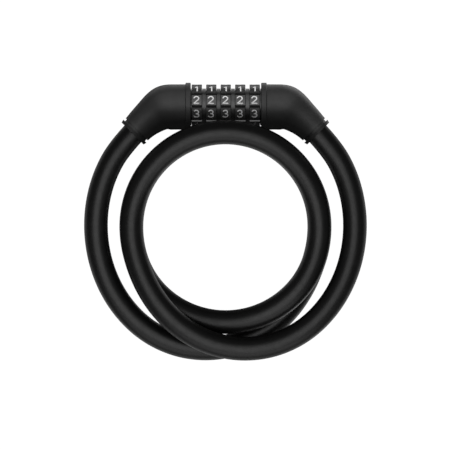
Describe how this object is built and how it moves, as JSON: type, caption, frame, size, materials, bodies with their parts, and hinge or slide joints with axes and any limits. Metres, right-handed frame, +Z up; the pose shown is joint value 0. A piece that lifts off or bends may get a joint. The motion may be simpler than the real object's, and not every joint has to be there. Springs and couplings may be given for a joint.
{
  "type": "cable lock",
  "caption": "Coiled cable lock: number dials on a round barrel, angled moulded ends and a locking pin that pulls out along the barrel.",
  "frame": {"origin": "centre of the coil, on the surface that the lock lies on", "axes": "+Z up along the axis of the coil, +X along the lock barrel towards the half that pulls off, +Y from the coil towards the lock barrel"},
  "size_m": [0.1426, 0.1402, 0.038],
  "materials": {
    "cable_pvc": "smooth black PVC jacket, soft sheen",
    "steel_rope": "galvanised wire rope",
    "spacer_plastic": "black moulded",
    "dial_plastic": "black, moulded, light numbers",
    "brass": "machined",
    "boot_plastic": "fine matt black",
    "trim_plastic": "satin black",
    "zinc": null,
    "steel": "hardened steel, bright"
  },
  "bodies": {
    "lock": {"cable_core_lock_run": "steel_rope", "cable_core_lower_turn": "steel_rope", "cable_core_upper_turn": "steel_rope", "cable_jacket_lock_run": "cable_pvc", "cable_jacket_lower_turn": "cable_pvc", "cable_jacket_upper_turn": "cable_pvc", "click_spring": "steel", "dial_retainer_left": "spacer_plastic", "dial_retainer_right": "spacer_plastic", "dial_spacer_1": "spacer_plastic", "dial_spacer_2": "spacer_plastic", "dial_spacer_3": "spacer_plastic", "dial_spacer_4": "spacer_plastic", "inner_sleeve": "zinc", "lock_adapter": "zinc", "lock_boot": "boot_plastic", "lock_cable_collar": "trim_plastic", "lock_cross_pin": "steel", "lock_end_ring": "trim_plastic", "lock_ferrule": "steel", "lock_rope_end": "steel_rope", "lock_set_screw": "steel"},
    "plug": {"cable_core_plug_run": "steel_rope", "cable_jacket_plug_run": "cable_pvc", "locking_pin": "steel", "plug_adapter": "zinc", "plug_boot": "boot_plastic", "plug_cable_collar": "trim_plastic", "plug_cross_pin": "steel", "plug_end_ring": "trim_plastic", "plug_ferrule": "steel", "plug_rope_end": "steel_rope", "plug_set_screw": "steel"},
    "dial_1": {"dial_1": "dial_plastic", "code_wheel_1": "brass"},
    "dial_2": {"dial_2": "dial_plastic", "code_wheel_2": "brass"},
    "dial_3": {"dial_3": "dial_plastic", "code_wheel_3": "brass"},
    "dial_4": {"dial_4": "dial_plastic", "code_wheel_4": "brass"},
    "dial_5": {"dial_5": "dial_plastic", "code_wheel_5": "brass"}
  },
  "joints": [
    {"name": "plug_pull", "type": "slide", "parent": "lock", "child": "plug", "axis": [1, 0, 0], "range_m": [0, 0.042]},
    {"name": "dial_1_turn", "type": "hinge", "parent": "lock", "child": "dial_1", "pos_m": [-0.01438, 0.0602, 0.019], "axis": [1, 0, 0], "continuous": true},
    {"name": "dial_2_turn", "type": "hinge", "parent": "lock", "child": "dial_2", "pos_m": [-0.00709, 0.0602, 0.019], "axis": [1, 0, 0], "continuous": true},
    {"name": "dial_3_turn", "type": "hinge", "parent": "lock", "child": "dial_3", "pos_m": [0.0002, 0.0602, 0.019], "axis": [1, 0, 0], "continuous": true},
    {"name": "dial_4_turn", "type": "hinge", "parent": "lock", "child": "dial_4", "pos_m": [0.00749, 0.0602, 0.019], "axis": [1, 0, 0], "continuous": true},
    {"name": "dial_5_turn", "type": "hinge", "parent": "lock", "child": "dial_5", "pos_m": [0.01478, 0.0602, 0.019], "axis": [1, 0, 0], "continuous": true}
  ]
}
